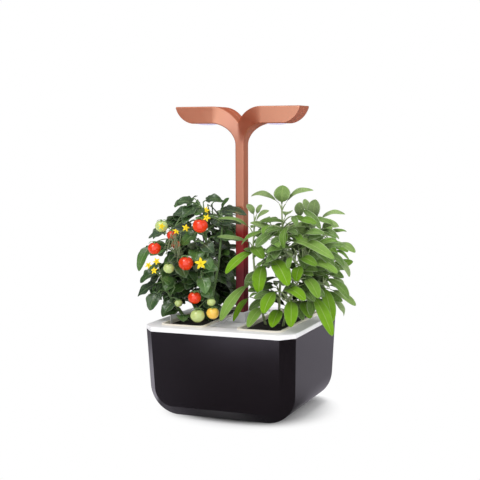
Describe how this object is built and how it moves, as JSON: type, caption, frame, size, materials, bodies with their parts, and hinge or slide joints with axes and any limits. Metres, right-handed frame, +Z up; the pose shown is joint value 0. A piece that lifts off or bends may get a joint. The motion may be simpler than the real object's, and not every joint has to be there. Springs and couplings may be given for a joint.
{
  "type": "countertop hydroponic garden",
  "caption": "Countertop garden: water tank base, white deck with planted grow inserts, float gauge, and a lift-out mast lamp with two leaf-shaped arms.",
  "frame": {"origin": "on the surface it stands on, under the middle of the base", "axes": "+Z up, -Y towards the front, +X to the right seen from the front"},
  "size_m": [0.2905, 0.21, 0.411],
  "materials": {
    "base_black": "gloss black moulded plastic",
    "rubber_black": "soft black rubber",
    "tank_grey": "plain grey moulded plastic",
    "deck_white": "semi-gloss white plastic",
    "socket_white": "semi-gloss cool white plastic",
    "basket_ivory": "satin ivory plastic",
    "gauge_grey": "satin grey plastic",
    "float_white": "foamed white plastic",
    "steel_screw": "zinc-plated steel",
    "medium_brown": "damp fibrous growing medium",
    "wick_felt": "white felt",
    "marker_white": "thin matt white card-like plastic",
    "copper_satin": "satin copper metallic coat",
    "lens_opal": "opal diffuser, lit",
    "board_white": "white solder-masked board",
    "board_green": "green solder-masked board",
    "chip_yellow": "phosphor-capped chips",
    "spreader_aluminium": "mill-finish aluminium",
    "wire_sheath": "black wire sheath",
    "part_black": "black moulded plastic",
    "button_copper": "copper-coloured plastic",
    "tomato_stem_green": "hairy green stem",
    "tomato_leaf_green": "dark green leaf",
    "tomato_red": "glossy ripe red skin",
    "tomato_green": "glossy unripe green skin",
    "flower_yellow": "yellow petals",
    "sage_stem_green": "square grey-green stem",
    "sage_leaf_green": "downy grey-green leaf"
  },
  "bodies": {
    "root": {"outer_housing": "base_black", "water_tank": "tank_grey", "rubber_feet": "rubber_black"},
    "deck": {"top_deck": "deck_white", "mast_socket": "socket_white", "socket_screws": "steel_screw"},
    "level_gauge": {"gauge_knob": "gauge_grey", "float_stem": "float_white", "level_float": "float_white"},
    "left_insert": {"left_basket": "basket_ivory", "left_medium": "medium_brown", "left_wick": "wick_felt", "plant_marker": "marker_white", "tomato_stems": "tomato_stem_green", "tomato_stalks": "tomato_stem_green", "tomato_leaves": "tomato_leaf_green", "ripe_tomatoes": "tomato_red", "unripe_tomatoes": "tomato_green", "tomato_flowers": "flower_yellow"},
    "right_insert": {"right_basket": "basket_ivory", "right_medium": "medium_brown", "right_wick": "wick_felt", "sage_stems": "sage_stem_green", "sage_stalks": "sage_stem_green", "sage_leaves": "sage_leaf_green"},
    "lamp": {"mast_front_shell": "copper_satin", "mast_rear_shell": "copper_satin", "shell_screws": "steel_screw", "left_lens": "lens_opal", "right_lens": "lens_opal", "left_led_board": "board_white", "right_led_board": "board_white", "led_chips": "chip_yellow", "left_heat_spreader": "spreader_aluminium", "right_heat_spreader": "spreader_aluminium", "lamp_wires": "wire_sheath", "control_board": "board_green", "tact_switch": "part_black", "dc_jack": "part_black"},
    "button": {"light_button": "button_copper"}
  },
  "joints": [
    {"name": "deck_lift", "type": "slide", "parent": "root", "child": "deck", "axis": [0, 0, 1], "range_m": [0, 0.11]},
    {"name": "float_rise", "type": "slide", "parent": "deck", "child": "level_gauge", "axis": [0, 0, 1], "range_m": [0, 0.025]},
    {"name": "left_insert_lift", "type": "slide", "parent": "deck", "child": "left_insert", "axis": [0, 0, 1], "range_m": [0, 0.05]},
    {"name": "right_insert_lift", "type": "slide", "parent": "deck", "child": "right_insert", "axis": [0, 0, 1], "range_m": [0, 0.05]},
    {"name": "lamp_lift", "type": "slide", "parent": "deck", "child": "lamp", "axis": [0, 0, 1], "range_m": [0, 0.045]},
    {"name": "light_button_press", "type": "slide", "parent": "lamp", "child": "button", "axis": [0, -1, 0], "range_m": [0, 0.0008], "stiffness_N_per_m": 1500}
  ]
}
